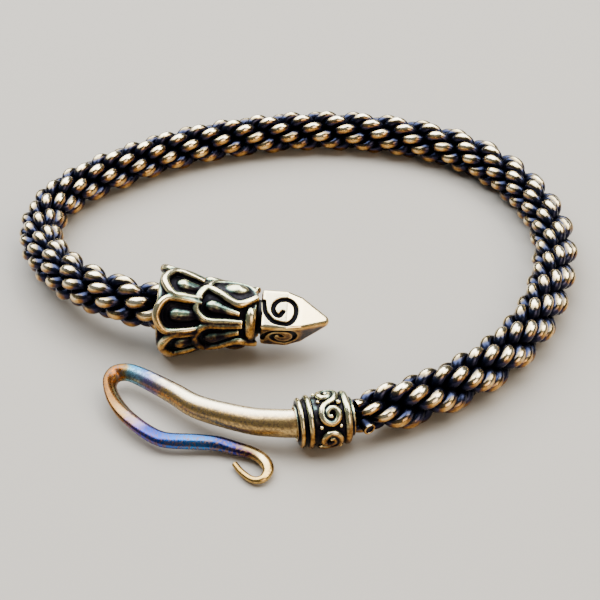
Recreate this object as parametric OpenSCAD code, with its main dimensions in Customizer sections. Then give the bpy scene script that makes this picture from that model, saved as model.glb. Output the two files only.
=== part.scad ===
// Rope-laid bangle: a bird's head on one end of the rope, a collar with a hook on the other.
// Drawn with the ground at z = 0 and the wearer's hand entering from above.

/* [Rope] */
// Thickness of the whole rope
rope_d = 6.2; // [5:0.1:8]
// Thickness of one strand across the rope
strand_d = 2.7; // [2:0.1:3.4]
// Length in which a strand goes once round near the collar
lay_front = 18.6; // [14:0.1:26]
// Length in which a strand goes once round at the back and the left
lay_back = 14.7; // [10:0.1:20]
// Length over which the lay tightens
lay_blend = 140; // [20:5:150]
// Turn of the first strand at the middle of the collar
strand_turn = -142; // [-180:0.5:180]
// Share of its thickness that the rope has where it enters the collar
pinch = 0.72; // [0.5:0.01:1]
// Length over which the rope swells to its full thickness
pinch_length = 6; // [2:0.5:15]

/* [Ring] */
// Distance behind the origin of the point that the rope's line is drawn round
ring_centre_y = 11; // [0:0.5:20]
// Heading of the rope's first end, seen from that point
rope_start = -79.4; // [-85:0.1:-70]
// Heading of the rope's last end
rope_end = 225.4; // [215:0.1:235]
// Height that the rope climbs to reach the bird's head
head_rise = 2.5; // [0:0.1:5]

/* [Bird head] */
// Length from the skirt to the tip of the beak
head_length = 21.1; // [16:0.1:28]
// Distance from the axis to the outside of the skirt
skirt_r = 5.6; // [4.5:0.1:8]
// Number of petals in the skirt
skirt_petals = 7; // [6:1:12]
// Half the thickness of the square head block
block_half = 2.6; // [1.5:0.1:4]

/* [Collar] */
// Distance from the axis to the top of the ribs
collar_r = 3.25; // [3.1:0.05:5]
// Length of the collar from the hook's end to its broad rib
collar_length = 6.15; // [4:0.05:10]
// Number of double scrolls round the collar
collar_scrolls = 3; // [2:1:4]

/* [Fit] */
// Clearance round the hook's shank in the collar
gap = 0.22; // [0.05:0.01:0.4]

/* [Output] */
// The piece to show

/* [Hidden] */

// Middle of the bounding box, in the coordinates of the drawing
box_middle = [-0.581, 8.318];

// Radius of the rope's line from the ring's point, one value each 30 degrees from -105
ring_first = -105;
ring_step = 30;
ring_r = [35, 33.3, 32.8, 33.1, 35.1, 36, 33.7, 32.2, 33.6, 36.4, 30.7, 22.8, 14];

// Heading of the collar's middle, where lengths along the rope are counted from
collar_heading = -85;
collar_z = collar_r;
collar_lift = collar_z - rope_d / 2;
lift_fade = 25;
rise_start = 165;
rise_span = 50;

// Where the collar's hook end is, and which way it points
collar_at = [-0.6, -23.5, collar_z];
collar_turn = 11;

// Where the middle of the skirt's open end is, and which way the beak points
head_at = [-17.5, -5.5, skirt_r + 0.09];
head_turn = -2.3;
head_dip = 3.2;
// Turn round the head's axis of the ridge along the crown, up from the viewer's side
crown = 20.5;
// The same for the edge of the block that faces the viewer
block_crown = 16.5;

// Steps of the rope's line and sides of a strand
rope_steps = 90;
strand_sides = 8;
strand_out = (rope_d - strand_d) / 2;

// Shank of the hook, and how far it goes into the collar
shank_r = 1.6;
shank_in = 0.62;

brass = [0.74, 0.6, 0.34];
bronze = [0.62, 0.5, 0.3];

function unit(v) = v / norm(v);

function smooth(u) = let (k = max(0, min(1, u))) k * k * (3 - 2 * k);

// One point of a smooth curve between b and c, with a and d beside them
function spline(a, b, c, d, f) =
  b + 0.5 * f * (c - a + f * (2 * a - 5 * b + 4 * c - d + f * (3 * (b - c) + d - a)));

function knot(k, i) =
  i < 0 ? 2 * k[0] - k[1] : i >= len(k) ? 2 * k[len(k) - 1] - k[len(k) - 2] : k[i];

function smooth_path(k, n) = [
  for (i = [0 : len(k) - 2], j = [0 : n - 1])
    spline(knot(k, i - 1), k[i], k[i + 1], knot(k, i + 2), j / n),
  k[len(k) - 1]
];

function ring_radius(t) =
  let (u = (t - ring_first) / ring_step, i = max(1, min(floor(u), len(ring_r) - 3)))
  spline(ring_r[i - 1], ring_r[i], ring_r[i + 1], ring_r[i + 2], u - i);

function ring_height(t) =
  rope_d / 2 + collar_lift * (1 - smooth((t - collar_heading) / lift_fade))
  + head_rise * smooth((t - rise_start) / rise_span);

function ring_point(t) =
  [ring_radius(t) * cos(t), ring_centre_y + ring_radius(t) * sin(t), ring_height(t)];

function step_heading(i) = rope_start + (rope_end - rope_start) * i / rope_steps;

// Length along the rope's line from the middle of the collar to each step
start_length = norm(ring_point(rope_start) - ring_point(collar_heading));
lengths = [
  for (
    i = 0, s = start_length;
    i <= rope_steps;
    i = i + 1, s = s + norm(ring_point(step_heading(i)) - ring_point(step_heading(i - 1)))
  ) s
];

// Turn of a strand after the length s, with the lay tightening over lay_blend
function blended(s) =
  let (u = s / lay_blend) u < 1 ? lay_blend * (pow(u, 3) - pow(u, 4) / 2) : s - lay_blend / 2;
function turn(s) =
  strand_turn + 360 * (s / lay_front + (1 / lay_back - 1 / lay_front) * blended(s));

function fullness(s) = pinch + (1 - pinch) * smooth((s - lengths[0]) / pinch_length);

// A skin over rings of points. Each ring runs clockwise seen from the last one.
module skin(rings) {
  sides = len(rings[0]);
  last = len(rings) - 1;
  polyhedron(
    points = [for (r = rings, p = r) p],
    faces = concat(
      [[for (k = [sides - 1 : -1 : 0]) k]],
      [
        for (i = [0 : last - 1], k = [0 : sides - 1])
          [i * sides + k, i * sides + (k + 1) % sides, (i + 1) * sides + (k + 1) % sides]
      ],
      [
        for (i = [0 : last - 1], k = [0 : sides - 1])
          [i * sides + k, (i + 1) * sides + (k + 1) % sides, (i + 1) * sides + k]
      ],
      [[for (k = [0 : sides - 1]) last * sides + k]]
    ),
    convexity = 10
  );
}

// Rings round a line. halves are half the width and half the height of each ring.
function rings_along(line, outs, halves, sides) =
  let (last = len(line) - 1) [
    for (i = [0 : last])
      let (
        along = unit(line[min(i + 1, last)] - line[max(i - 1, 0)]),
        side = unit(cross(along, outs[i])),
        out = cross(side, along)
      ) [
        for (k = [0 : sides - 1])
          let (a = 360 * (k + 0.5) / sides)
          line[i] + side * halves[i][0] * cos(a) + out * halves[i][1] * sin(a)
      ]
  ];

// Points on a round body whose axis is X: distance along, turn up from the viewer, radius
function on_barrel(p) = [p[0], -p[2] * cos(p[1]), p[2] * sin(p[1])];

// A raised line on a round body. Rows of knots: along, turn, radius, half thickness.
module vine(knots, smoothness, sides) {
  path = smooth_path(knots, smoothness);
  skin(
    rings_along(
      [for (p = path) on_barrel(p)],
      [for (p = path) on_barrel([0, p[1], 1])],
      [for (p = path) [p[3], p[3]]],
      sides
    )
  );
}

// A rounded boss on a round body that thins from the first place to the second
module boss(first, second) {
  hull() {
    translate(on_barrel(first)) sphere(r = first[3], $fn = 8);
    translate(on_barrel(second)) sphere(r = second[3], $fn = 6);
  }
}

// A solid turned round the X axis from rows of distance along and radius
module turned(profile, sides) {
  rotate([0, 90, 0])
    rotate_extrude($fn = sides)
      polygon([for (p = profile) [p[1], p[0]]]);
}

// A round rib for a turned profile: middle, half width, foot radius, height
function rib(middle, half, foot, height) =
  [for (a = [0 : 60 : 180]) [middle - half * cos(a), foot + height * sin(a)]];

// One of the three strands of the rope
module strand(which) {
  color(bronze)
    skin([
      for (i = [0 : rope_steps])
        let (
          t = step_heading(i),
          here = ring_point(t),
          along = unit(ring_point(t + 0.5) - ring_point(t - 0.5)),
          side = unit(cross(along, [0, 0, 1])),
          down = cross(along, side),
          full = fullness(lengths[i]),
          a = turn(lengths[i]) + 120 * which,
          middle = here + strand_out * full * (side * cos(a) + down * sin(a))
        ) [
          for (k = [0 : strand_sides - 1])
            let (b = a - 360 * k / strand_sides)
            middle + strand_d / 2 * full * (side * cos(b) + down * sin(b))
        ]
    ]);
}

// Cut end of a wire of the first strand that stands out beside the collar
module wire_end() {
  translate(collar_at)
    rotate([0, 0, collar_turn])
      hull() {
        translate(on_barrel([8.2, 30, 1.3])) sphere(r = 0.5, $fn = 10);
        translate(on_barrel([8.05, -4, 2.3])) rotate([96, 0, 20]) cylinder(r = 0.66, h = 0.3, $fn = 12);
      }
}

module strand_1() {
  strand(0);
  color(bronze) wire_end();
}

module strand_2() strand(1);
module strand_3() strand(2);

// Body of the bird head: hollow skirt, neck and the groove before the block
module head_body() {
  cup_r = rope_d / 2 + 0.35;
  turned(
    [
      [2.3, 0],
      [2.3, cup_r],
      [0.55, skirt_r - 1.5],
      [0.35, skirt_r - 1.1],
      [0.6, skirt_r - 0.75],
      [1.6, skirt_r - 0.75],
      [3.6, skirt_r - 1.2],
      [5.4, skirt_r - 1.75],
      [7.6, skirt_r - 1.75],
      [10.6, skirt_r - 2.1],
      [12.2, skirt_r - 2.4],
      [12.35, skirt_r - 3.5],
      [13.6, skirt_r - 3.5],
      [13.6, 0]
    ],
    27
  );
}

// One petal of the skirt with its rib. reach is where its tip is.
module skirt_petal(middle, reach) {
  half = 180 / skirt_petals - 2.6;
  edge = skirt_r - 0.4;
  vine(
    [
      [5.7, middle - half + 2, edge - 1.05, 0.24],
      [3.8, middle - half, edge - 0.4, 0.36],
      [reach + 1.5, middle - half + 1.5, edge, 0.4],
      [reach + 0.45, middle, edge, 0.46],
      [reach + 1.5, middle + half - 1.5, edge, 0.4],
      [3.8, middle + half, edge - 0.4, 0.36],
      [5.7, middle + half - 2, edge - 1.05, 0.24]
    ],
    2,
    5
  );
  boss([reach + 2.4, middle, edge - 0.95, 0.85], [5.0, middle, edge - 1.45, 0.65]);
}

// One petal of the second tier with its rib. side is 1 above the crown and -1 below it.
module neck_petal(foot, side) {
  vine(
    [
      [10.7, foot + side * 3, 3.75, 0.26],
      [8.6, foot + side * 3.5, 3.95, 0.36],
      [6.6, foot + side * 3.5, 4.15, 0.42],
      [5.5, foot + side * 12, 4.2, 0.44],
      [5.05, foot + side * 25, 4.2, 0.44],
      [5.25, foot + side * 43, 4.15, 0.44],
      [6.15, foot + side * 63, 4.1, 0.44],
      [7.75, foot + side * 55, 4.0, 0.44],
      [9.1, foot + side * 42, 3.9, 0.44],
      [10.25, foot + side * 37, 3.8, 0.44],
      [11.4, foot + side * 46, 3.6, 0.4],
      [12.3, foot + side * 60, 3.4, 0.32]
    ],
    2,
    5
  );
  boss([6.9, foot + side * 29.5, 3.7, 0.72], [10.3, foot + side * 18, 3.5, 0.36]);
}

// Boss on the side of the neck and the rim that goes round it
module side_boss(side) {
  middle = crown + side * 77;
  boss([9.1, middle, 3.05, 1.15], [10.2, middle, 2.95, 1.05]);
  vine(
    [
      [6.4, crown + side * 72, 4.0, 0.24],
      [7.0, crown + side * 88, 3.95, 0.32],
      [8.2, crown + side * 100, 3.85, 0.34],
      [9.6, crown + side * 104, 3.7, 0.34],
      [11.0, crown + side * 96, 3.5, 0.32],
      [12.1, crown + side * 80, 3.25, 0.24]
    ],
    2,
    5
  );
}

// Square block with its beak, with a corner to the crown
module block() {
  edge_r = 0.5;
  tip_r = 0.4;
  // Along the head, and half the thickness there
  rows = [[12.75, block_half], [15.4, block_half], [17.2, block_half - 0.45]];
  hull() {
    for (row = rows, c = [0 : 3]) {
      rotate([90 * c - 45, 0, 0])
        translate([row[0] + edge_r, row[1] - edge_r, row[1] - edge_r])
          sphere(r = edge_r, $fn = 8);
    }
    translate([head_length - tip_r, 0, 0]) sphere(r = tip_r, $fn = 10);
  }
}

// Groove of the spiral on one face of the block: along the beak, across the face
module eye_groove(side) {
  middle = 15.1;
  shoulder = 15.9;
  face = [
    [0.32, -0.35],
    [-0.07, -0.85],
    [-0.62, -0.62],
    [-0.87, 0.08],
    [-0.55, 0.85],
    [0.05, 1.25],
    [1.0, 1.27],
    [1.72, 0.75],
    [1.93, -0.22],
    [1.56, -1.3],
    [0.88, -1.85],
    [-0.1, -1.8],
    [-0.92, -1.5],
    [-1.75, -0.5],
    [-2.1, 0.9]
  ];
  path = smooth_path(face, 2);
  skin(
    rings_along(
      [
        for (p = path)
          [middle + p[0], side * p[1], block_half - 0.3 * max(0, middle + p[0] - shoulder)]
      ],
      [for (p = path) [0, 0, 1]],
      [for (p = path) [0.24, 0.3]],
      6
    )
  );
}

module bird_head() {
  color(brass)
    translate(head_at)
      rotate([0, head_dip, head_turn]) {
        head_body();
        for (i = [0 : skirt_petals - 1]) {
          skirt_petal(crown + 11 + i * 360 / skirt_petals, i % 2 == 0 && i < 6 ? 0.05 : 0.7);
        }
        for (foot = [crown, crown + 180], side = [-1, 1]) {
          neck_petal(foot, side);
        }
        for (side = [-1, 1]) {
          side_boss(side);
        }
        vine(
          [
            [11.55, crown - 41, 3.15, 0.42],
            [11.55, crown - 20, 3.25, 0.6],
            [11.55, crown, 3.28, 0.64],
            [11.55, crown + 18, 3.25, 0.6],
            [11.55, crown + 33, 3.15, 0.42]
          ],
          2,
          6
        );
        rotate([90 - block_crown, 0, 0])
          difference() {
            block();
            rotate([-45, 0, 0]) eye_groove(1);
            rotate([45, 0, 0]) eye_groove(-1);
          }
      }
}

// One double scroll of the collar and its pearls. start is its turn round the collar.
module scroll(start) {
  field_r = collar_r - 0.29;
  // Distance along and turn of the middle, and of the knots from one coil up to it
  middle = [3.72, 80];
  coil = [
    [3.93, 47],
    [3.5, 47],
    [3.37, 56],
    [3.8, 64],
    [4.35, 62.4],
    [4.63, 51.7],
    [4.5, 40.3],
    [4.0, 32.4],
    [3.4, 33.4],
    [2.9, 42],
    [2.76, 55],
    [3.05, 70.6]
  ];
  last = len(coil) - 1;
  vine(
    [
      for (i = [0 : last]) [coil[i][0], start + coil[i][1], field_r, 0.2 + 0.1 * smooth(i / 3)],
      [middle[0], start + middle[1], field_r, 0.3],
      for (i = [last : -1 : 0])
        [
          2 * middle[0] - coil[i][0],
          start + 2 * middle[1] - coil[i][1],
          field_r,
          0.2 + 0.1 * smooth(i / 3)
        ]
    ],
    1,
    5
  );
  for (p = [[2.55, 85, 0.2], [4.8, 78.4, 0.28], [2.55, 25, 0.22], [4.75, 24.5, 0.2]]) {
    boss([p[0], start + p[1], field_r, p[2]], [p[0], start + p[1], field_r - 0.3, p[2]]);
  }
}

module collar() {
  floor_r = collar_r - 0.5;
  lip_r = 2.1;
  sleeve_end = collar_length + 0.45;
  color(brass)
    translate(collar_at)
      rotate([0, 0, collar_turn]) {
        turned(
          concat(
            [
              [shank_in + 0.25, 0],
              [shank_in + 0.1, shank_r + gap],
              [0, shank_r + gap],
              [0, lip_r],
              [0.28, lip_r]
            ],
            rib(0.55, 0.27, floor_r - 0.2, 0.3),
            rib(1.53, 0.36, floor_r - 0.1, 0.4),
            [[2.0, floor_r], [collar_length - 1.0, floor_r]],
            rib(collar_length - 0.45, 0.45, floor_r - 0.1, 0.4),
            [
              [collar_length + 0.05, 2.3],
              [sleeve_end, 2.2],
              [sleeve_end, 0]
            ]
          ),
          25
        );
        for (i = [0 : collar_scrolls - 1]) {
          scroll(i * 360 / collar_scrolls);
        }
      }
}

// Hook: rows of place, width across its flat face, thickness, and lean of the face inward
module hook() {
  rows = [
    [0.0, -23.38, 3.25, 3.2, 3.2, 0],
    [-1.1, -23.5, 3.23, 3.24, 3.24, 0],
    [-3.4, -23.3, 3.17, 3.18, 3.18, 0],
    [-5.3, -22.97, 3.1, 3.1, 3.1, 0],
    [-8.56, -21.75, 2.95, 2.95, 2.85, 15],
    [-11.93, -20.04, 2.75, 2.75, 2.4, 30],
    [-14.5, -17.75, 2.6, 2.5, 2.0, 38],
    [-16.7, -15.9, 2.45, 2.35, 1.7, 40],
    [-19.25, -13.96, 2.3, 2.2, 1.45, 42],
    [-20.67, -13.25, 2.2, 2.1, 1.3, 45],
    [-21.91, -13.46, 2.1, 2.1, 1.15, 50],
    [-22.45, -14.6, 2.0, 2.1, 1.1, 50],
    [-22.25, -16.1, 1.9, 2.1, 1.1, 45],
    [-21.5, -18.0, 1.8, 2.1, 1.1, 30],
    [-20.25, -20.05, 1.7, 2.0, 1.15, 15],
    [-18.29, -22.21, 1.6, 1.9, 1.2, 0],
    [-16.33, -23.78, 1.5, 1.9, 1.3, -12],
    [-14.65, -24.33, 1.4, 1.9, 1.3, -20],
    [-11.72, -24.4, 1.3, 1.9, 1.3, -20],
    [-9.3, -24.58, 1.2, 1.8, 1.25, -20],
    [-6.9, -25.3, 1.05, 1.7, 1.25, -10],
    [-5.1, -26.0, 0.97, 1.6, 1.2, 0],
    [-3.95, -27.1, 0.9, 1.5, 1.1, 0],
    [-3.5, -28.5, 0.8, 1.25, 1.0, 0],
    [-4.1, -29.7, 0.68, 1.0, 0.85, 0],
    [-5.2, -29.75, 0.6, 0.85, 0.75, 0],
    [-6.4, -28.6, 0.55, 0.8, 0.7, 0],
    [-7.3, -27.2, 0.55, 0.7, 0.65, 0]
  ];
  path = smooth_path(rows, 2);
  line = [for (p = path) [p[0], p[1], p[2]]];
  last = len(line) - 1;
  outs = [
    for (i = [0 : last])
      let (
        along = line[min(i + 1, last)] - line[max(i - 1, 0)],
        inward = unit(cross([0, 0, 1], along))
      )
      [0, 0, cos(path[i][5])] + inward * sin(path[i][5])
  ];
  color(brass)
    skin(rings_along(line, outs, [for (p = path) [p[3] / 2, p[4] / 2]], 12));
}

translate([-box_middle[0], -box_middle[1], 0]) {
  bird_head();
  strand_1();
  strand_2();
  strand_3();
  collar();
  hook();
}
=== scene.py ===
# %% [markdown]
# # A rope-laid bronze bracelet with a bird's head
#
# The bracelet is a rope of three strands, each of two wires twisted together, bent round to a
# ring. A cast bird's head closes one end. A cast collar closes the other and holds a forged
# hook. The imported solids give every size, so this lesson only adds what the eye wants: real
# wires, soft cast relief, heat colours and a blackened finish rubbed bright on its high places.

# %% Load the frame
import math

import bmesh
import bpy
import numpy as np
from mathutils import Matrix, Vector, kdtree


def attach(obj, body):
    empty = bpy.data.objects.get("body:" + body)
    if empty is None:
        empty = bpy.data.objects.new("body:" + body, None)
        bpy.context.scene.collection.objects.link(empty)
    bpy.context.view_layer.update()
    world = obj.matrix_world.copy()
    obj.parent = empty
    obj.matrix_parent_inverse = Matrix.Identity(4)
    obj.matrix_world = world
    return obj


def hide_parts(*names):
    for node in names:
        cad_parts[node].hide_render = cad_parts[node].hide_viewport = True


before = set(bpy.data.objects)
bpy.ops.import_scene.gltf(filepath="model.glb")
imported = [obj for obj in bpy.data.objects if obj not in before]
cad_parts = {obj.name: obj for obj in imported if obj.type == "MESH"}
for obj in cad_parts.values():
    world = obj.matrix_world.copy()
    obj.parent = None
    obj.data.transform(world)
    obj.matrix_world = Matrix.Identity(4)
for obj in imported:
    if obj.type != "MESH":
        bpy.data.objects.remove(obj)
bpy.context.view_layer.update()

MM = 0.001
print("solids:", sorted(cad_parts))

# %% [markdown]
# The bracelet lies on a surface and is seen from the front, 36.5 degrees above the ground. The
# picture's perspective is that of a rather long lens, 78 mm for a frame 36 mm wide, held 165 mm
# from the ring. The camera comes first, so that every later step can be looked at from its place.
# Places on the ring are counted from a point inside it, and one shift takes them to the frame.

# %% Camera
RING_SHIFT = Vector((0.581, -8.318, 0.0)) * MM
PHOTO_SIDE = 600
FOCAL_PIXELS = 1300
SENSOR = 36
CAMERA_RISE = math.radians(36.5)
CAMERA_AWAY, LOOK_HEIGHT = 165, 3.1

camera_data = bpy.data.cameras.new("camera")
camera_data.sensor_width = SENSOR
camera_data.lens = SENSOR * FOCAL_PIXELS / PHOTO_SIDE
camera_data.clip_start = 0.005
camera_data.clip_end = 5
camera = bpy.data.objects.new("camera", camera_data)
bpy.context.scene.collection.objects.link(camera)
look_at = Vector((0, 0, LOOK_HEIGHT)) * MM + RING_SHIFT
backward = Vector((0, -math.cos(CAMERA_RISE), math.sin(CAMERA_RISE)))
camera.location = look_at + backward * CAMERA_AWAY * MM
camera.rotation_euler = (math.pi / 2 - CAMERA_RISE, 0, 0)
bpy.context.scene.camera = camera
print("lens, mm:", round(camera_data.lens, 1))

# %% [markdown]
# Small helpers for work that comes back: pick one object and nothing else, apply a modifier,
# join pieces, and sweep a round bar of changing thickness along points. The bar is a curve with
# a round bevel made a mesh, which is how wire is drawn in Blender. A search tree finds the nearest
# of many points fast, for the marks that the finishes read later.


# %% Helpers for picking, joining and finishing
def pick(*objects):
    bpy.ops.object.select_all(action="DESELECT")
    for piece in objects:
        piece.select_set(True)
    bpy.context.view_layer.objects.active = objects[0]


def apply_modifier(piece, kind, **settings):
    pick(piece)
    modifier = piece.modifiers.new(kind.lower(), kind)
    for key, value in settings.items():
        setattr(modifier, key, value)
    bpy.ops.object.modifier_apply(modifier=modifier.name)


def join(pieces, name):
    pick(*pieces)
    if len(pieces) > 1:
        bpy.ops.object.join()
    whole = bpy.context.view_layer.objects.active
    whole.name = whole.data.name = name
    return whole


def apply_place(piece):
    pick(piece)
    bpy.ops.object.transform_apply(location=True, rotation=True, scale=True)


def bar_along(points, thicknesses, name, sides=12):
    data = bpy.data.curves.new(name, "CURVE")
    data.dimensions = "3D"
    data.bevel_depth = 1.0
    data.bevel_resolution = (sides - 4) // 2
    data.use_fill_caps = True
    line = data.splines.new("POLY")
    line.points.add(len(points) - 1)
    for knot, place, thickness in zip(line.points, points, thicknesses):
        knot.co = (*place, 1)
        knot.radius = thickness / 2
    bar = bpy.data.objects.new(name, data)
    bpy.context.scene.collection.objects.link(bar)
    pick(bar)
    bpy.ops.object.convert(target="MESH")
    return bpy.context.view_layer.objects.active


def smooth_faces(piece):
    pick(piece)
    bpy.ops.object.shade_smooth()


def open_faces(piece, wanted):
    """Enter edit mode with only the faces selected that the test wanted agrees with."""
    pick(piece)
    bpy.ops.object.mode_set(mode="EDIT")
    bpy.ops.mesh.select_mode(type="FACE")
    bpy.ops.mesh.select_all(action="DESELECT")
    form = bmesh.from_edit_mesh(piece.data)
    for face in form.faces:
        if wanted(face):
            face.select_set(True)
    bmesh.update_edit_mesh(piece.data)


def tree_of(places):
    tree = kdtree.KDTree(len(places))
    for i, place in enumerate(places):
        tree.insert(place, i)
    tree.balance()
    return tree


# %% Smooth lines through a few knots
def spline(a, b, c, d, f):
    """The point at share f of the way from b to c, on a smooth curve through all four."""
    return b + 0.5 * f * (c - a + f * (2 * a - 5 * b + 4 * c - d + f * (3 * (b - c) + d - a)))


def through(knots, steps):
    k = np.array(knots, float)
    k = np.vstack([2 * k[0] - k[1], k, 2 * k[-1] - k[-2]])
    line = [
        spline(k[i - 1], k[i], k[i + 1], k[i + 2], j / steps)
        for i in range(1, len(k) - 2)
        for j in range(steps)
    ]
    return np.array(line + [k[-2]])


def ease(u):
    """0 below 0, 1 above 1, and a soft S between."""
    u = np.clip(u, 0, 1)
    return u * u * (3 - 2 * u)


# %% [markdown]
# ## The rope's line
#
# The ring was bent by hand, so it is not a circle. Its line is given by the distance from one
# point inside it, every 30 degrees, and a smooth curve between. The rope climbs a little to meet
# the bird's head, whose wide skirt rests on the ground.

# %% The ring's line in millimetres
ROPE_D = 6.2
RING_R = np.array([35, 33.3, 32.8, 33.1, 35.1, 36, 33.7, 32.2, 33.6, 36.4, 30.7, 22.8, 14])
RING_FIRST, RING_STEP, RING_MIDDLE_Y = -105, 30, 11
COLLAR_HEADING, ROPE_START, ROPE_END = -85, -79.4, 225.4
HEAD_RISE, COLLAR_LIFT = 2.5, 0.15


def ring_point(heading):
    u = (heading - RING_FIRST) / RING_STEP
    i = int(max(1, min(math.floor(u), len(RING_R) - 3)))
    r = spline(*RING_R[i - 1 : i + 3], u - i)
    a = math.radians(heading)
    lift = COLLAR_LIFT * (1 - ease((heading - COLLAR_HEADING) / 25))
    rise = HEAD_RISE * ease((heading - 165) / 50)
    return np.array([r * math.cos(a), RING_MIDDLE_Y + r * math.sin(a), ROPE_D / 2 + lift + rise])


ROPE_STEPS = 1000
headings = np.linspace(ROPE_START, ROPE_END, ROPE_STEPS + 1)
rope_line = np.array([ring_point(t) for t in headings])
pieces_of_line = np.linalg.norm(np.diff(rope_line, axis=0), axis=1)
first_length = np.linalg.norm(ring_point(ROPE_START) - ring_point(COLLAR_HEADING))
lengths = first_length + np.concatenate([[0], np.cumsum(pieces_of_line)])
print("rope, mm:", round(float(lengths[-1] - lengths[0]), 1))

# %% [markdown]
# ## Wires of the rope
#
# A rope like this is made in two steps. Two wires are twisted to the left into a strand, then
# three strands are laid together to the right, which locks the twist. Here each wire's line is
# worked out the same way: a point that circles the strand's line, while the strand's line
# circles the rope's. The lay starts long at the collar and tightens towards the back, as the
# wires do where a maker starts the twist by hand.

# %% Lines of the wires
LAY_FRONT, LAY_BACK, LAY_BLEND, STRAND_TURN = 18.6, 14.7, 140, -142
PINCH, PINCH_LENGTH = 0.72, 6
WIRE_D = 1.52
WIRE_PITCH = 3.46
WIRE_PHASE = 0.9
STRAND_OUT = ROPE_D / 2 - WIRE_D - 0.03

# How far the lay has moved from the front's to the back's, and how full the rope is: its ends
# are pinched where the castings hold it

share = lengths / LAY_BLEND
blended = np.where(share < 1, LAY_BLEND * (share**3 - share**4 / 2), lengths - LAY_BLEND / 2)
rounds_laid = lengths / LAY_FRONT + (1 / LAY_BACK - 1 / LAY_FRONT) * blended
turns = np.radians(STRAND_TURN + 360 * rounds_laid)
fullness = PINCH + (1 - PINCH) * ease((lengths - lengths[0]) / PINCH_LENGTH)


def directions(line):
    along = np.gradient(line, axis=0)
    return along / np.linalg.norm(along, axis=1)[:, None]


def across(along):
    side = np.cross(along, [0, 0, 1])
    side /= np.linalg.norm(side, axis=1)[:, None]
    return side, np.cross(along, side)


rope_side, rope_down = across(directions(rope_line))


def strand_line(which):
    a = (turns + math.radians(120 * which))[:, None]
    out = rope_side * np.cos(a) + rope_down * np.sin(a)
    return rope_line + (STRAND_OUT * fullness)[:, None] * out


def wire_line(which, wire):
    middle = strand_line(which)
    along = directions(middle)
    out = middle - rope_line
    out -= along * np.sum(out * along, axis=1)[:, None]
    out /= np.linalg.norm(out, axis=1)[:, None]
    side = np.cross(along, out)
    run = np.concatenate([[0], np.cumsum(np.linalg.norm(np.diff(middle, axis=0), axis=1))])
    a = (-2 * math.pi * run / WIRE_PITCH + math.pi * wire + WIRE_PHASE * which)[:, None]
    return middle + (WIRE_D / 2 * fullness)[:, None] * (out * np.cos(a) + side * np.sin(a))


# %% Sweep the six wires and join each pair into a strand
def rope_strand(which):
    wires = []
    for wire in range(2):
        points = wire_line(which, wire) * MM + np.array(RING_SHIFT)
        wires.append(bar_along(points, WIRE_D * fullness * MM, f"wire_{which}_{wire}"))
    return join(wires, f"rope_strand_{which + 1}")


strands = [rope_strand(which) for which in range(3)]
for strand in strands:
    smooth_faces(strand)
    print(strand.name, len(strand.data.polygons), "faces")

# %% [markdown]
# The black between the wires is the finish's main drawing, so each point of a strand keeps how
# far it is from the rope's middle. The material reads that number as the rubbing of a cloth: high
# crowns are bright, what lies deep stays black. A second number keeps which way the point looks.

# %% Mark how far each point of a strand stands out
SKY = np.array([-0.25, 0.2, 0.95])
BLACK_TO = 0.55
rope_tree = tree_of([Vector(point) * MM + RING_SHIFT for point in rope_line])


def mark(piece, name, values):
    layer = piece.data.attributes.new(name, "FLOAT", "POINT")
    layer.data.foreach_set("value", np.asarray(values, np.float32))


def mark_facing(piece):
    """1 where the surface looks up and to the left, -1 where it looks down and to the right."""
    normals = np.empty(len(piece.data.vertices) * 3, np.float32)
    piece.data.vertices.foreach_get("normal", normals)
    mark(piece, "facing", normals.reshape(-1, 3) @ (SKY / np.linalg.norm(SKY)))


for strand in strands:
    mark_facing(strand)
    heights = []
    for vertex in strand.data.vertices:
        _, i, distance = rope_tree.find(vertex.co)
        heights.append(distance / MM / (ROPE_D / 2 * fullness[i]))
    mark(strand, "wear_and_shade", (np.array(heights) - BLACK_TO) / (1 - BLACK_TO))

# %% [markdown]
# ## Cast pieces
#
# The head and the collar were modelled in wax and cast, so their forms run into each other with
# small soft corners. The way here is the wax modeller's: set rounded bars and beads on a turned
# body, then melt all of it together. The melting is a voxel remesh and a little smoothing. A
# plain join of the same shapes would show hard lines where they cross. What stands out of a cast
# piece is found by comparing it with a copy whose points were smoothed many times.


# %% Helpers for work on a round body
# Melting takes a little off each bar, so bars are drawn fuller and are set a little deeper
SWELL, SINK = 0.09, 0.06


def on_barrel(along, turn, radius):
    a = math.radians(turn)
    return np.array([along, -radius * math.cos(a), radius * math.sin(a)])


def vine(knots, name, steps=6, sides=12):
    """A raised line on a round body. Rows of knots: along, turn, radius, half thickness."""
    path = through(knots, steps)
    points = [on_barrel(x, turn, r - SINK) * MM for x, turn, r, _ in path]
    return bar_along(points, 2 * (path[:, 3] + SWELL) * MM, name, sides)


def boss(along, turn, radius, length, width, height, name):
    bpy.ops.mesh.primitive_uv_sphere_add(segments=24, ring_count=16, radius=MM)
    bead = bpy.context.view_layer.objects.active
    bead.name = name
    bead.scale = (length / 2, width / 2, height / 2)
    apply_place(bead)
    bead.data.transform(Matrix.Rotation(math.radians(90 - turn), 4, "X"))
    bead.data.transform(Matrix.Translation(on_barrel(along, turn, radius) * MM))
    return bead


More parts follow.
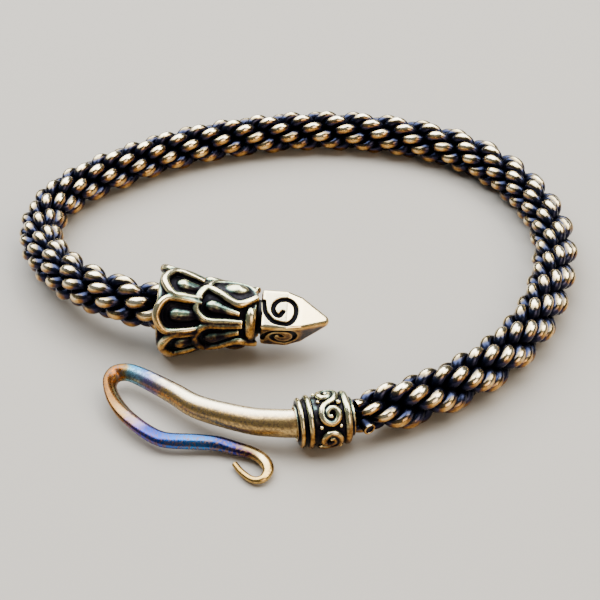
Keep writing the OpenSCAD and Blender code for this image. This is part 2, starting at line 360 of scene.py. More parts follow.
def turned(profile, name, steps=64):
    """A solid turned round X: rows of distance along and radius, from the axis to the axis."""
    mesh = bpy.data.meshes.new(name)
    form = bmesh.new()
    rim = [form.verts.new((x * MM, 0, r * MM)) for x, r in profile]
    for a, b in zip(rim, rim[1:]):
        form.edges.new((a, b))
    form.to_mesh(mesh)
    form.free()
    body = bpy.data.objects.new(name, mesh)
    bpy.context.scene.collection.objects.link(body)
    pick(body)
    bpy.ops.object.mode_set(mode="EDIT")
    bpy.ops.mesh.select_all(action="SELECT")
    bpy.ops.mesh.spin(steps=steps, angle=2 * math.pi, center=(0, 0, 0), axis=(1, 0, 0))
    bpy.ops.mesh.select_all(action="SELECT")
    bpy.ops.mesh.remove_doubles(threshold=0.002 * MM)
    bpy.ops.mesh.normals_make_consistent(inside=False)
    bpy.ops.object.mode_set(mode="OBJECT")
    return body


def melt(pieces, name, voxel, softness):
    whole = join(pieces, name)
    apply_modifier(whole, "REMESH", mode="VOXEL", voxel_size=voxel * MM, use_smooth_shade=True)
    apply_modifier(whole, "SMOOTH", factor=0.5, iterations=softness)
    return whole


# %% Mark how far each point stands out of its surroundings
def mark_relief(piece, name, rounds, full, flat=0.0):
    """Above flat on ridges, below it in grooves, and one more where they are full mm high."""
    mesh = piece.data
    count = len(mesh.vertices)
    places = np.empty(count * 3)
    mesh.vertices.foreach_get("co", places)
    places = places.reshape(-1, 3)
    normals = np.empty(count * 3, np.float32)
    mesh.vertices.foreach_get("normal", normals)
    normals = normals.reshape(-1, 3)
    ends = np.empty(len(mesh.edges) * 2, np.int64)
    mesh.edges.foreach_get("vertices", ends)
    ends = ends.reshape(-1, 2)
    number = np.bincount(ends.ravel(), minlength=count)[:, None]
    smooth = places.copy()
    for _ in range(rounds):
        total = np.zeros_like(smooth)
        for axis in range(3):
            total[:, axis] = np.bincount(ends[:, 0], smooth[ends[:, 1], axis], count)
            total[:, axis] += np.bincount(ends[:, 1], smooth[ends[:, 0], axis], count)
        smooth = total / number
    height = np.sum((places - smooth) * normals, axis=1) / MM
    mark(piece, name, flat + height / full)


# %% [markdown]
# ## Bird's head
#
# The head is a cap on the rope's end. A flared skirt of seven petals opens over the rope, a
# second tier of petals lies on it with bosses at the sides, a short bar crosses the neck, and
# past a groove sits the block of the head itself: square in section, one corner turned to the
# crown, with a spiral for an eye on each side and a four-sided beak.

# %% Body of the head
HEAD_AT = Vector((-17.5, -5.5, 5.69)) * MM + RING_SHIFT
HEAD_DIP, HEAD_TURN = math.radians(3.2), math.radians(-2.3)
SKIRT_R, SKIRT_PETALS, FIRST_PETAL = 5.6, 7, 11
CROWN = 20.5

rib_places = []
head_parts = [
    turned(
        [
            (2.3, 0),
            (2.3, ROPE_D / 2 + 0.35),
            (0.55, SKIRT_R - 1.5),
            (0.35, SKIRT_R - 1.1),
            (0.6, SKIRT_R - 0.75),
            (1.6, SKIRT_R - 0.75),
            (3.6, SKIRT_R - 1.2),
            (5.4, SKIRT_R - 1.75),
            (7.6, SKIRT_R - 1.75),
            (10.6, SKIRT_R - 2.1),
            (12.2, SKIRT_R - 2.4),
            (12.35, SKIRT_R - 3.5),
            (13.6, SKIRT_R - 3.5),
            (13.6, 0),
        ],
        "head_body",
    )
]


# %% Petals of the skirt
# Three of the petals lie over their neighbours and start nearer to the skirt's edge
OVERLYING, OVER_START, UNDER_START = (0, 2, 4), 0.05, 0.7


def skirt_petal(middle, start):
    half = 180 / SKIRT_PETALS - 2.6
    edge = SKIRT_R - 0.4
    head_parts.append(
        vine(
            [
                (5.7, middle - half + 2, edge - 1.05, 0.24),
                (3.8, middle - half, edge - 0.4, 0.36),
                (start + 1.5, middle - half + 1.5, edge, 0.4),
                (start + 0.45, middle, edge, 0.46),
                (start + 1.5, middle + half - 1.5, edge, 0.4),
                (3.8, middle + half, edge - 0.4, 0.36),
                (5.7, middle + half - 2, edge - 1.05, 0.24),
            ],
            "petal_rim",
        )
    )
    head_parts.append(
        vine(
            [
                (start + 1.75, middle, edge - 1.0, 0.5),
                (start + 2.5, middle, edge - 0.97, 0.85),
                (4.0, middle, edge - 1.2, 0.78),
                (5.2, middle, edge - 1.5, 0.6),
            ],
            "petal_rib",
        )
    )
    for x in np.linspace(start + 1.8, 5.2, 6):
        rib_places.append(on_barrel(x, middle, edge - 0.4 - 0.1 * x) * MM)


for i in range(SKIRT_PETALS):
    middle = CROWN + FIRST_PETAL + i * 360 / SKIRT_PETALS
    skirt_petal(middle, OVER_START if i in OVERLYING else UNDER_START)
print("parts so far:", len(head_parts))


# %% Second tier: petals, bosses and the bar across the neck
def neck_petal(foot, side):
    rim = [
        (10.7, 3, 3.75, 0.26),
        (8.6, 3.5, 3.95, 0.36),
        (6.6, 3.5, 4.15, 0.42),
        (5.5, 12, 4.2, 0.44),
        (5.05, 25, 4.2, 0.44),
        (5.25, 43, 4.15, 0.44),
        (6.15, 63, 4.1, 0.44),
        (7.75, 55, 4.0, 0.44),
        (9.1, 42, 3.9, 0.44),
        (10.25, 37, 3.8, 0.44),
        (11.4, 46, 3.6, 0.4),
        (12.3, 60, 3.4, 0.32),
    ]
    rib = [
        (6.15, 30, 3.8, 0.35),
        (6.95, 29.5, 3.75, 0.74),
        (8.2, 25.5, 3.7, 0.6),
        (10.3, 18, 3.55, 0.3),
    ]
    for x, a, r, _ in rib[:3]:
        rib_places.append(on_barrel(x, foot + side * a, r + 0.5) * MM)
    for rows, name in ((rim, "tier_rim"), (rib, "tier_rib")):
        head_parts.append(vine([(x, foot + side * a, r, t) for x, a, r, t in rows], name))


for foot in (CROWN, CROWN + 180):
    for side in (-1, 1):
        neck_petal(foot, side)
for side in (-1, 1):
    head_parts.append(
        boss(9.6, CROWN + side * 77, 3.3, length=3.3, width=2.2, height=1.8, name="side_boss")
    )
    rim = [
        (6.4, 72, 4.0, 0.24),
        (7.0, 88, 3.95, 0.32),
        (8.2, 100, 3.85, 0.34),
        (9.6, 104, 3.7, 0.34),
        (11.0, 96, 3.5, 0.32),
        (12.1, 80, 3.25, 0.24),
    ]
    head_parts.append(vine([(x, CROWN + side * a, r, t) for x, a, r, t in rim], "boss_rim"))
head_parts.append(
    vine(
        [
            (11.55, CROWN - 41, 3.15, 0.42),
            (11.55, CROWN - 20, 3.25, 0.6),
            (11.55, CROWN, 3.28, 0.64),
            (11.55, CROWN + 18, 3.25, 0.6),
            (11.55, CROWN + 33, 3.15, 0.42),
        ],
        "neck_bar",
    )
)
print("parts set on the head:", len(head_parts))

# %% [markdown]
# The mounds inside the petals lie lower than the rims, so a cloth hardly reaches them. They are
# marked as less worn.


# %% Dull the mounds inside the petals
def dull(piece, name, places, reach, amount):
    tree = tree_of(places)
    layer = piece.data.attributes[name]
    for vertex, item in zip(piece.data.vertices, layer.data):
        near = 1 - ease(tree.find(vertex.co)[2] / reach)
        item.value -= amount * float(near)


# %% Melt the cap together and set it in place
HEAD_PLACE = (
    Matrix.Translation(HEAD_AT)
    @ Matrix.Rotation(HEAD_TURN, 4, "Z")
    @ Matrix.Rotation(HEAD_DIP, 4, "Y")
)
head_cap = melt(head_parts, "head_cap", voxel=0.096, softness=3)
mark_relief(head_cap, "wear_and_shade", rounds=55, full=0.26, flat=-0.12)
dull(head_cap, "wear_and_shade", rib_places, reach=1.3 * MM, amount=0.38)
head_cap.data.transform(HEAD_PLACE)
mark_facing(head_cap)
print("head cap:", len(head_cap.data.polygons), "faces")

# %% [markdown]
# ### The block and the beak
#
# A cube is drawn out to the beak by extruding its front face twice and shrinking each new face,
# and its edges are bevelled. The melting softens it as casting did. The spirals are then pressed
# in: each point near a spiral's line goes down into the metal by a round profile, deepest on the
# line. That leaves the thin metal between two turns whole, where cutting with a swept bar fails.

# %% Block of the head
BLOCK_HALF = 2.6
BLOCK_CROWN = 16.5
BLOCK_FROM, SHOULDER, BROW, TIP = 12.75, 15.9, 17.7, 21.1
BROW_HALF, TIP_HALF = 2.15, 0.4
BLOCK_EDGE = 0.42

bpy.ops.object.select_all(action="DESELECT")
bpy.ops.mesh.primitive_cube_add(size=1)
block = bpy.context.view_layer.objects.active
block.scale = ((SHOULDER - BLOCK_FROM) * MM, 2 * BLOCK_HALF * MM, 2 * BLOCK_HALF * MM)
block.location = ((SHOULDER + BLOCK_FROM) / 2 * MM, 0, 0)
apply_place(block)
open_faces(block, lambda face: face.normal.x > 0.9)
for far, shrink in ((BROW - SHOULDER, BROW_HALF / BLOCK_HALF), (TIP - BROW, TIP_HALF / BROW_HALF)):
    bpy.ops.mesh.extrude_region_move(TRANSFORM_OT_translate={"value": (far * MM, 0, 0)})
    bpy.ops.transform.resize(value=(1, shrink, shrink))
bpy.ops.mesh.select_all(action="SELECT")
bpy.ops.mesh.normals_make_consistent(inside=False)
bpy.ops.object.mode_set(mode="OBJECT")
apply_modifier(block, "BEVEL", width=BLOCK_EDGE * MM, segments=3, limit_method="ANGLE")
block.data.transform(Matrix.Rotation(math.radians(45), 4, "X"))
print("block:", len(block.data.polygons), "faces")

# %% Spirals of the eyes
EYE_MIDDLE = 15.1
EYE_LINE = [
    (0.32, -0.35),
    (-0.07, -0.85),
    (-0.62, -0.62),
    (-0.87, 0.08),
    (-0.55, 0.85),
    (0.05, 1.25),
    (1.0, 1.27),
    (1.72, 0.75),
    (1.93, -0.22),
    (1.56, -1.3),
    (0.88, -1.85),
    (-0.1, -1.8),
    (-0.92, -1.5),
    (-1.75, -0.5),
    (-2.1, 0.9),
]
BROW_SLOPE = (BLOCK_HALF - BROW_HALF) / (BROW - SHOULDER)
GROOVE_HALF, GROOVE_DEEP = 0.3 * MM, 0.3 * MM
groove_places = []


def press_spiral(piece, side):
    place = Matrix.Rotation(math.radians(-45 * side), 3, "X")
    inward = place @ Vector((0, 0, -1))
    knots = []
    for a, b in through(EYE_LINE, 12):
        drop = BROW_SLOPE * max(0, EYE_MIDDLE + a - SHOULDER)
        knots.append(place @ (Vector((EYE_MIDDLE + a, side * b, BLOCK_HALF - drop)) * MM))
    groove_places.extend(knot + inward * GROOVE_DEEP / 2 for knot in knots)
    tree = tree_of(knots)
    for vertex in piece.data.vertices:
        distance = tree.find(vertex.co)[2] / GROOVE_HALF
        if distance < 1:
            vertex.co += inward * GROOVE_DEEP * math.sqrt(1 - distance * distance)


# %% Melt the block, press the spirals in and set it in place
head_block = melt([block], "head_block", voxel=0.06, softness=3)
for side in (-1, 1):
    press_spiral(head_block, side)
apply_modifier(head_block, "SMOOTH", factor=0.5, iterations=2)
mark_relief(head_block, "wear_and_shade", rounds=60, full=0.16, flat=0.62)
dull(head_block, "wear_and_shade", groove_places, reach=0.38 * MM, amount=2.0)
head_block.data.transform(HEAD_PLACE @ Matrix.Rotation(math.radians(90 - BLOCK_CROWN), 4, "X"))
mark_facing(head_block)

# Painted shade: the faces of the block that look down, away from the sky lamp, are made darker
UPPER_FROM, LOWER_TO, LOWER_FACE_SHADE = 0.55, 0.25, 0.5
wear_and_shade_layer, looking = (head_block.data.attributes[name].data for name in ("wear_and_shade", "facing"))
for wear_and_shade_mark, look in zip(wear_and_shade_layer, looking):
    lower = ease((UPPER_FROM - look.value) / (UPPER_FROM - LOWER_TO))
    wear_and_shade_mark.value -= LOWER_FACE_SHADE * float(lower)
print("head block:", len(head_block.data.polygons), "faces")

# %% [markdown]
# ## Collar
#
# The collar is a short drum with ribs at both ends. Between them run double scrolls, three round
# the drum, each a band that coils up at both ends, with pearls in the corners. It is built like
# the head. The cut end of one wire of the rope shows beside it as a little ring.

# %% Body of the collar
COLLAR_AT = Vector((-0.6, -23.5, 3.25)) * MM + RING_SHIFT
COLLAR_TURN = math.radians(11)
COLLAR_R, COLLAR_LENGTH, LIP_R = 3.25, 6.15, 2.1
FLOOR_R = COLLAR_R - 0.5
SHANK_R, SHANK_IN, GAP = 1.6, 0.62, 0.22


def rib(middle, half, foot, height):
    steps = [-1, -0.8, -0.45, 0, 0.45, 0.8, 1]
    return [(middle + half * s, foot + height * math.sqrt(1 - s * s)) for s in steps]


collar_parts = [
    turned(
        [
            (SHANK_IN + 0.25, 0),
            (SHANK_IN + 0.1, SHANK_R + GAP),
            (0, SHANK_R + GAP),
            (0, LIP_R),
            (0.28, LIP_R),
            *rib(0.55, 0.27, FLOOR_R - 0.2, 0.3),
            *rib(1.53, 0.36, FLOOR_R - 0.1, 0.4),
            (2.0, FLOOR_R),
            (COLLAR_LENGTH - 1.0, FLOOR_R),
            *rib(COLLAR_LENGTH - 0.45, 0.45, FLOOR_R - 0.1, 0.4),
            (COLLAR_LENGTH + 0.05, 2.3),
            (COLLAR_LENGTH + 0.45, 2.2),
            (COLLAR_LENGTH + 0.45, 0),
        ],
        "collar_body",
    )
]

# %% Scrolls round the collar
COILS = 3
FIELD_R = COLLAR_R - 0.29
SCROLL_MIDDLE = (3.72, 80)
SCROLL_COIL = [
    (3.93, 47),
    (3.5, 47),
    (3.37, 56),
    (3.8, 64),
    (4.35, 62.4),
    (4.63, 51.7),
    (4.5, 40.3),
    (4.0, 32.4),
    (3.4, 33.4),
    (2.9, 42),
    (2.76, 55),
    (3.05, 70.6),
]
PEARLS = [(2.55, 85, 0.42), (4.8, 78.4, 0.58), (2.55, 25, 0.46), (4.75, 24.5, 0.42)]


def scroll(start):
    band = [0.2 + 0.1 * float(ease(i / 3)) for i in range(len(SCROLL_COIL))]
    one = [(x, start + a, FIELD_R, t) for (x, a), t in zip(SCROLL_COIL, band)]
    other = [
        (2 * SCROLL_MIDDLE[0] - x, start + 2 * SCROLL_MIDDLE[1] - a, FIELD_R, t)
        for (x, a), t in zip(SCROLL_COIL, band)
    ]
    middle = [(SCROLL_MIDDLE[0], start + SCROLL_MIDDLE[1], FIELD_R, 0.3)]
    collar_parts.append(vine(one + middle + other[::-1], "scroll"))
    for x, a, size in PEARLS:
        collar_parts.append(boss(x, start + a, FIELD_R - 0.02, size, size, size, "scroll_pearl"))


for i in range(COILS):
    scroll(i * 360 / COILS)
print("parts set on the collar:", len(collar_parts))

# %% Melt the collar together and set it in place
COLLAR_PLACE = Matrix.Translation(COLLAR_AT) @ Matrix.Rotation(COLLAR_TURN, 4, "Z")
collar = melt(collar_parts, "collar_cast", voxel=0.057, softness=2)
mark_relief(collar, "wear_and_shade", rounds=50, full=0.15, flat=-0.1)
collar.data.transform(COLLAR_PLACE)
mark_facing(collar)
print("collar:", len(collar.data.polygons), "faces")

# %% Cut end of a wire beside the collar
END_R, END_LENGTH, END_SEAT = 0.72, 1.3, 0.45
END_RIM, END_HOLLOW, END_EDGE = 0.2, 0.22, 0.07
END_TILT, END_TURN = math.radians(96), math.radians(20)
END_AT = on_barrel(8.05, -4, 2.3) * MM
RUBBED_RIM, BLACK_REST = 0.85, -0.9

bpy.ops.object.select_all(action="DESELECT")
bpy.ops.mesh.primitive_cylinder_add(vertices=32, radius=END_R * MM, depth=END_LENGTH * MM)
wire_end = bpy.context.view_layer.objects.active
wire_end.name = "wire_end"
open_faces(wire_end, lambda face: face.normal.z > 0.9)
bpy.ops.mesh.inset(thickness=END_RIM * MM)
bpy.ops.mesh.extrude_region_move(TRANSFORM_OT_translate={"value": (0, 0, -END_HOLLOW * MM)})
bpy.ops.object.mode_set(mode="OBJECT")
apply_modifier(wire_end, "BEVEL", width=END_EDGE * MM, segments=3, limit_method="ANGLE")
end_worn = []
for vertex in wire_end.data.vertices:
    out = math.hypot(vertex.co.x, vertex.co.y) / MM
    on_face = vertex.co.z > (END_LENGTH / 2 - 0.1) * MM
    end_worn.append(RUBBED_RIM if on_face and out > END_R - END_RIM - 0.06 else BLACK_REST)
wire_end.data.transform(Matrix.Translation((0, 0, -END_SEAT * MM)))
wire_end.data.transform(Matrix.Rotation(END_TILT, 4, "X"))
wire_end.data.transform(Matrix.Rotation(END_TURN, 4, "Z"))
wire_end.data.transform(Matrix.Translation(END_AT))
wire_end.data.transform(COLLAR_PLACE)
smooth_faces(wire_end)
mark(wire_end, "wear_and_shade", end_worn)
mark_facing(wire_end)
print("wire end:", len(wire_end.data.polygons), "faces")

# %% [markdown]
# ## Hook
#
# The hook is one bar, forged thinner towards its end, bent back on itself and finished with a
# small curl. Its section is an oval that changes along the bar, which a curve's bevel can't do,
# so oval rings are set along the line and bridged to a skin. Each ring keeps its place along the
# bar. The heat colours are laid out by that number later.

# %% Rows of the bar: place, width of its face and thickness in millimetres, lean of the face
HOOK_ROWS = [
    (0.0, -23.38, 3.25, 3.2, 3.2, 0),
    (-1.1, -23.5, 3.23, 3.24, 3.24, 0),
    (-3.4, -23.3, 3.17, 3.18, 3.18, 0),
    (-5.3, -22.97, 3.1, 3.1, 3.1, 0),
    (-8.56, -21.75, 2.95, 2.95, 2.85, 15),
    (-11.93, -20.04, 2.75, 2.75, 2.4, 30),
    (-14.5, -17.75, 2.6, 2.5, 2.0, 38),
    (-16.7, -15.9, 2.45, 2.35, 1.7, 40),
    (-19.25, -13.96, 2.3, 2.2, 1.45, 42),
    (-20.67, -13.25, 2.2, 2.1, 1.3, 45),
    (-21.91, -13.46, 2.1, 2.1, 1.15, 50),
    (-22.45, -14.6, 2.0, 2.1, 1.1, 50),
    (-22.25, -16.1, 1.9, 2.1, 1.1, 45),
    (-21.5, -18.0, 1.8, 2.1, 1.1, 30),
    (-20.25, -20.05, 1.7, 2.0, 1.15, 15),
    (-18.29, -22.21, 1.6, 1.9, 1.2, 0),
    (-16.33, -23.78, 1.5, 1.9, 1.3, -12),
    (-14.65, -24.33, 1.4, 1.9, 1.3, -20),
    (-11.72, -24.4, 1.3, 1.9, 1.3, -20),
    (-9.3, -24.58, 1.2, 1.8, 1.25, -20),
    (-6.9, -25.3, 1.05, 1.7, 1.25, -10),
    (-5.1, -26.0, 0.97, 1.6, 1.2, 0),
    (-3.95, -27.1, 0.9, 1.5, 1.1, 0),
    (-3.5, -28.5, 0.8, 1.25, 1.0, 0),
    (-4.1, -29.7, 0.68, 1.0, 0.85, 0),
    (-5.2, -29.75, 0.6, 0.85, 0.75, 0),
    (-6.4, -28.6, 0.55, 0.8, 0.7, 0),
    (-7.3, -27.2, 0.55, 0.7, 0.65, 0),
]
HOOK_SIDES = 32
hook_path = through(HOOK_ROWS, 10)
hook_along = directions(hook_path[:, :3])
level_side, level_down = across(hook_along)
lean = np.radians(hook_path[:, 5])[:, None]
hook_side = level_side * np.cos(lean) - level_down * np.sin(lean)
hook_down = level_down * np.cos(lean) + level_side * np.sin(lean)

# %% Skin of the bar
mesh = bpy.data.meshes.new("hook_bar")
form = bmesh.new()
rings = []
for row, side, down in zip(hook_path, hook_side, hook_down):
    ring = []
    for i in range(HOOK_SIDES):
        a = 2 * math.pi * i / HOOK_SIDES
        point = row[:3] + side * row[3] / 2 * math.cos(a) + down * row[4] / 2 * math.sin(a)
        ring.append(form.verts.new(Vector(point) * MM + RING_SHIFT))
    rings.append(ring)
for a, b in zip(rings, rings[1:]):
    for i in range(HOOK_SIDES):
        j = (i + 1) % HOOK_SIDES
        form.faces.new((a[i], a[j], b[j], b[i]))
form.faces.new(rings[0])
form.faces.new(rings[-1])
bmesh.ops.recalc_face_normals(form, faces=form.faces)
form.to_mesh(mesh)
form.free()
hook = bpy.data.objects.new("hook_bar", mesh)
bpy.context.scene.collection.objects.link(hook)
apply_modifier(hook, "BEVEL", width=0.25 * MM, segments=3, limit_method="ANGLE", angle_limit=1.2)
smooth_faces(hook)

# %% Keep each point's place along the bar
hook_tree = tree_of([Vector(row[:3]) * MM + RING_SHIFT for row in hook_path])
last = len(hook_path) - 1
mark(hook, "along", [hook_tree.find(vertex.co)[1] / last for vertex in hook.data.vertices])
mark_facing(hook)
print("hook:", len(hook.data.polygons), "faces")

# %% [markdown]
# ## Finishes
#
# Everything here is bronze. What tells the pieces apart is what was done to the surface: the
# castings and the rope were blackened with a sulphur bath and rubbed, so that the black stays in
# the grooves; the hook was coloured with a flame and brushed. The pits of a cast or brushed skin
# are a few hundredths of a millimetre across, too fine to show here, so they are drawn 0.12 and
# 0.15 mm across.
#
# A material is a net of nodes. One function adds a node of any kind, sets it and links its
# inputs, so a net reads from top to bottom. Every pattern is noise on the piece's own
# coordinates, with its scale worked out from the size of one grain.


# %% Colours and a way to add a node
# The values between which nearly all of a noise lies, and how much fine detail it has
NOISE_LOW, NOISE_HIGH = 0.3, 0.7
PLAIN, CRISP = 3, 5
# Where a Mix node takes its two colours and gives the mixed one
MIX_A, MIX_B, MIX_COLOUR = 6, 7, 2


def colour(code):
    parts = [int(code[i : i + 2], 16) / 255 for i in (1, 3, 5)]
    return (*[c / 12.92 if c <= 0.04045 else ((c + 0.055) / 1.055) ** 2.4 for c in parts], 1)


def metal(name):
    material = bpy.data.materials.new(name)
    material.use_nodes = True
    shader = material.node_tree.nodes["Principled BSDF"]
    shader.inputs["Metallic"].default_value = 1.0
    return material, shader


def feed(material, node, inputs):
    """Set inputs, by name or in the node's order, to numbers or to other nodes' outputs."""
    for key, value in inputs.items() if isinstance(inputs, dict) else enumerate(inputs):
        if isinstance(value, bpy.types.NodeSocket):
            material.node_tree.links.new(value, node.inputs[key])
        else:
            node.inputs[key].default_value = value


def add(material, kind, inputs=(), output=0, stops=(), **settings):
    """Add a node and give back one of its outputs. Stops are a ramp's places and colours."""
    made = material.node_tree.nodes.new("ShaderNode" + kind)
    for key, value in settings.items():
        setattr(made, key, value)
    feed(material, made, inputs)
    if stops:
        elements = made.color_ramp.elements
        while len(elements) < len(stops):
            elements.new(0.5)
        for element, (place, code) in zip(elements, stops):
            element.position = place
            element.color = colour(code)
    return made.outputs[output]


# %% [markdown]
# Blackened bronze gets its colours from how worn a place is. The number comes from the mesh and
# is shaken a little with grain, since a cloth never rubs evenly. Two rows of tones run from black
# to bright: a pale one with a green cast for what looks up, a painted reflection of the sky, and a
# copper one for what looks down, a painted warm reflection of the ground. What looks down is also
# made darker, as painted shade. The number for which way the surface looks blends them. Polished
# places are also smoother than black ones, so the crowns throw sharp highlights and the black
# stays dull.

# %% Blackened and rubbed bronze
RUB_GRAIN, RUB_PATCH, CAST_PITS, PIT_DEPTH = 0.35, 2.2, 0.12, 0.012


def rubbed_bronze(name, pale, copper, worn_range, roughness, shake, underside_shade):
    material, shader = metal(name)
    place = add(material, "TexCoord", output="Object")
    grain, patches, pits = [
        add(material, "TexNoise", {"Vector": place, "Scale": 1 / (size * MM), "Detail": detail})
        for size, detail in ((RUB_GRAIN, PLAIN), (RUB_PATCH, PLAIN), (CAST_PITS, CRISP))
    ]
    grain, patches = [
        add(material, "MapRange", [noise, NOISE_LOW, NOISE_HIGH, -shake, shake])
        for noise in (grain, patches)
    ]
    facing = add(material, "Attribute", output="Fac", attribute_name="facing")
    # Painted shade: what looks down, away from the sky lamp, is made darker
    painted_underside_shade = add(material, "MapRange", [facing, 0.05, 0.5, -underside_shade, 0])
    wear_and_shade = add(material, "Attribute", output="Fac", attribute_name="wear_and_shade")
    for change in (grain, patches, painted_underside_shade):
        wear_and_shade = add(material, "Math", [wear_and_shade, change], operation="ADD")
    tone = add(material, "MapRange", [wear_and_shade, -1, 1])
    dark, bright = [add(material, "ValToRGB", [tone], stops=row) for row in (copper, pale)]
    # Painted reflection: the pale row on what looks up, the copper row on what looks down
    upward = add(material, "Math", [facing, patches], operation="ADD")
    upward = add(material, "MapRange", [upward, -0.1, 0.6])
    colours = {0: upward, MIX_A: dark, MIX_B: bright}
    shade = add(material, "Mix", colours, MIX_COLOUR, data_type="RGBA")
    gloss = add(material, "MapRange", [wear_and_shade, *worn_range, *roughness])
    skin = add(material, "Bump", {"Height": pits, "Distance": PIT_DEPTH * MM, "Strength": 0.6})
    feed(material, shader, {"Base Color": shade, "Roughness": gloss, "Normal": skin})
    return material


# Cast skin, black in the grooves; on what looks up a green cast where the black gives way, painted
# reflection of the sky
cast_bronze = rubbed_bronze(
    "cast_bronze_blackened_and_rubbed",
    pale=[
        (0.24, "#0d0c10"),
        (0.42, "#262528"),
        (0.51, "#56786e"),
        (0.6, "#bcc49c"),
        (0.78, "#fbeabc"),
    ],
    copper=[
        (0.24, "#0b0a12"),
        (0.42, "#231a20"),
        (0.51, "#7a5426"),
        (0.6, "#c58f42"),
        (0.78, "#f2cd84"),
    ],
    worn_range=(-0.2, 0.4),
    roughness=(0.42, 0.16),
    shake=0.1,
    underside_shade=0.28,
)

# Drawn wire, bluish black between the turns and polished on the crowns
rope_bronze = rubbed_bronze(
    "bronze_wire_blackened_and_rubbed",
    pale=[
        (0.62, "#171a2a"),
        (0.76, "#30364e"),
        (0.84, "#6a5f4a"),
        (0.9, "#c4ae7c"),
        (0.96, "#fff2d0"),
    ],
    copper=[
        (0.62, "#151522"),
        (0.76, "#2e2a3e"),
        (0.84, "#785028"),
        (0.9, "#c08c44"),
        (0.96, "#f2cc84"),
    ],
    worn_range=(0.1, 0.7),
    roughness=(0.36, 0.15),
    shake=0.05,
    underside_shade=0.1,
)
print("nodes in the cast finish:", len(cast_bronze.node_tree.nodes))

# %% [markdown]
# The flame's colours follow the bar: straw on the shank, blue before the bend, brown round it,
# blue and violet on the arm and straw again on the curl. One row of colours is for the sides,
# which are speckled with scale, and one for the upper face, which has the flame's colours too and
# a painted cream highlight on the shank and on the curl. Places in a row are shares of the bar's
# points, from the foot to the curl's tip.

# %% Rows of the flame's colours
HEAT_ROW = [
    (0.0, "#c0a26a"),
    (0.235, "#b8955a"),
    (0.258, "#7a689c"),
    (0.28, "#7fb0cc"),
    (0.315, "#74acb8"),
    (0.335, "#96834e"),
    (0.36, "#8e5420"),
    (0.5, "#9a6a30"),
    (0.53, "#8a6440"),
    (0.56, "#604c90"),
    (0.6, "#2648a4"),
    (0.67, "#2a6cac"),
    (0.725, "#2e2a6e"),
    (0.765, "#4a2c34"),
    (0.795, "#d0ac64"),
    (1.0, "#a07c3c"),
]
SCALE_ROW = [
    (0.0, "#7a5f40"),
    (0.3, "#4e5c66"),
    (0.5, "#6c4a2a"),
    (1.0, "#8a7048"),
]
# Cream stops here are painted highlight on the shank's and the curl's tops; the rest are flame
# colours
UPPER_HEAT_AND_HIGHLIGHT_ROW = [
    (0.235, "#fff0cc"),
    (0.262, "#445c8c"),
    (0.3, "#1c6488"),
    (0.325, "#245e70"),
    (0.345, "#5c4420"),
    (0.46, "#583a1a"),
    (0.53, "#a08458"),
    (0.555, "#7c6c88"),
    (0.59, "#1c2c70"),
    (0.66, "#1e4c80"),
    (0.73, "#1e1a4e"),
    (0.77, "#a08c58"),
    (0.8, "#ffeab8"),
    (0.87, "#d0ac60"),
    (1.0, "#a08040"),
]

# %% [markdown]
# The edges between the colours wander a little, as heat does in a bar. The shank was brushed more
# coarsely than the arm, so its highlight is broader.

# %% Flame-coloured bronze of the hook
HEAT_WANDER, SCALE_SPECKS, BRUSHED_PITS, BRUSHED_DEPTH = 2.5, 0.3, 0.15, 0.01

hook_bronze, shader = metal("forged_bronze_with_heat_colours")
place = add(hook_bronze, "TexCoord", output="Object")
wander, specks, pits = [
    add(hook_bronze, "TexNoise", {"Vector": place, "Scale": 1 / (size * MM), "Detail": detail})
    for size, detail in ((HEAT_WANDER, PLAIN), (SCALE_SPECKS, PLAIN), (BRUSHED_PITS, CRISP))
]
along = add(hook_bronze, "Attribute", output="Fac", attribute_name="along")
wander = add(hook_bronze, "MapRange", [wander, NOISE_LOW, NOISE_HIGH, -0.02, 0.02])
heated = add(hook_bronze, "Math", [along, wander], operation="ADD")
heat, upper_heat_and_highlight = [
    add(hook_bronze, "ValToRGB", [heated], stops=row) for row in (HEAT_ROW, UPPER_HEAT_AND_HIGHLIGHT_ROW)
]
scale = add(hook_bronze, "ValToRGB", [along], stops=SCALE_ROW)

speckled = add(hook_bronze, "MapRange", [specks, 0.45, 0.6, 0, 0.75])
colours = {0: speckled, MIX_A: heat, MIX_B: scale}
sides = add(hook_bronze, "Mix", colours, MIX_COLOUR, data_type="RGBA")
facing = add(hook_bronze, "Attribute", output="Fac", attribute_name="facing")
# Painted highlight: faces that look towards the sky lamp take the upper row
upward = add(hook_bronze, "MapRange", [facing, 0.78, 0.96, 0, 0.9])
colours = {0: upward, MIX_A: sides, MIX_B: upper_heat_and_highlight}
shade = add(hook_bronze, "Mix", colours, MIX_COLOUR, data_type="RGBA")

brushing = add(hook_bronze, "MapRange", [along, 0.25, 0.55, 0.31, 0.25])
uneven = add(hook_bronze, "MapRange", [specks, NOISE_LOW, NOISE_HIGH, -0.06, 0.06])
gloss = add(hook_bronze, "Math", [brushing, uneven], operation="ADD")
skin = add(hook_bronze, "Bump", {"Height": pits, "Distance": BRUSHED_DEPTH * MM, "Strength": 0.6})
feed(hook_bronze, shader, {"Base Color": shade, "Roughness": gloss, "Normal": skin})
print("nodes in the hook's finish:", len(hook_bronze.node_tree.nodes))

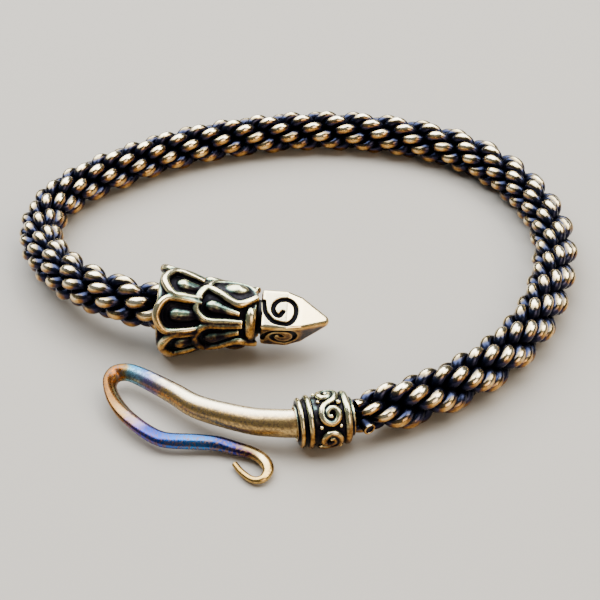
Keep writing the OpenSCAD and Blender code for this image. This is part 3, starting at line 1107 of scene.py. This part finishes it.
# %% Give each piece its finish
for finish, pieces in (
    (cast_bronze, (head_cap, head_block, collar)),
    (rope_bronze, (*strands, wire_end)),
    (hook_bronze, (hook,)),
):
    for piece in pieces:
        piece.data.materials.clear()
        piece.data.materials.append(finish)

# %% [markdown]
# ## Floor and light
#
# A plain pale floor, a soft surrounding, two wide lamps and a weak warm one. Polished metal shows
# what is around it, so wide lamps give it long soft highlights. The large one hangs overhead and
# somewhat behind, where the highlights on the wires point to. A smaller one to the right of it
# lights the upper face of the beak, and the warm one lifts the sides that look to the camera.

# %% Floor
bpy.ops.object.select_all(action="DESELECT")
bpy.ops.mesh.primitive_plane_add(size=2.4)
floor = bpy.context.view_layer.objects.active
floor.name = "floor"
floor_paint = bpy.data.materials.new("pale_matt_paint")
floor_paint.use_nodes = True
paint = floor_paint.node_tree.nodes["Principled BSDF"]
feed(floor_paint, paint, {"Base Color": colour("#9d988f"), "Roughness": 0.8})
floor.data.materials.append(floor_paint)


# %% Lamps and surroundings
def lamp(name, place, size, watts, tint):
    data = bpy.data.lights.new(name, "AREA")
    data.size = size
    data.energy = watts
    data.color = colour(tint)[:3]
    made = bpy.data.objects.new(name, data)
    bpy.context.scene.collection.objects.link(made)
    made.location = place
    made.rotation_euler = (-Vector(place)).to_track_quat("-Z", "Y").to_euler()


lamp("window", (-0.2, 0.38, 0.8), 1.25, 42.0, "#f8fbff")
lamp("side_window", (0.55, 0.08, 0.7), 0.55, 9.0, "#fffaf2")
lamp("fill", (0.4, -0.5, 0.3), 0.4, 2.5, "#ffe2bd")
world = bpy.data.worlds.new("studio")
world.use_nodes = True
air = world.node_tree.nodes["Background"]
air.inputs["Color"].default_value = colour("#dfe4ea")
air.inputs["Strength"].default_value = 0.25
bpy.context.scene.world = world

# %% [markdown]
# Every piece rides on the one body and takes the place of its solid.

# %% Hang each piece on the body and hide the solid it stands for
for piece, node in (
    (head_cap, "bird_head"),
    (head_block, "bird_head"),
    (strands[0], "strand_1"),
    (wire_end, "strand_1"),
    (strands[1], "strand_2"),
    (strands[2], "strand_3"),
    (collar, "collar"),
    (hook, "hook"),
):
    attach(piece, "root")
    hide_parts(node)
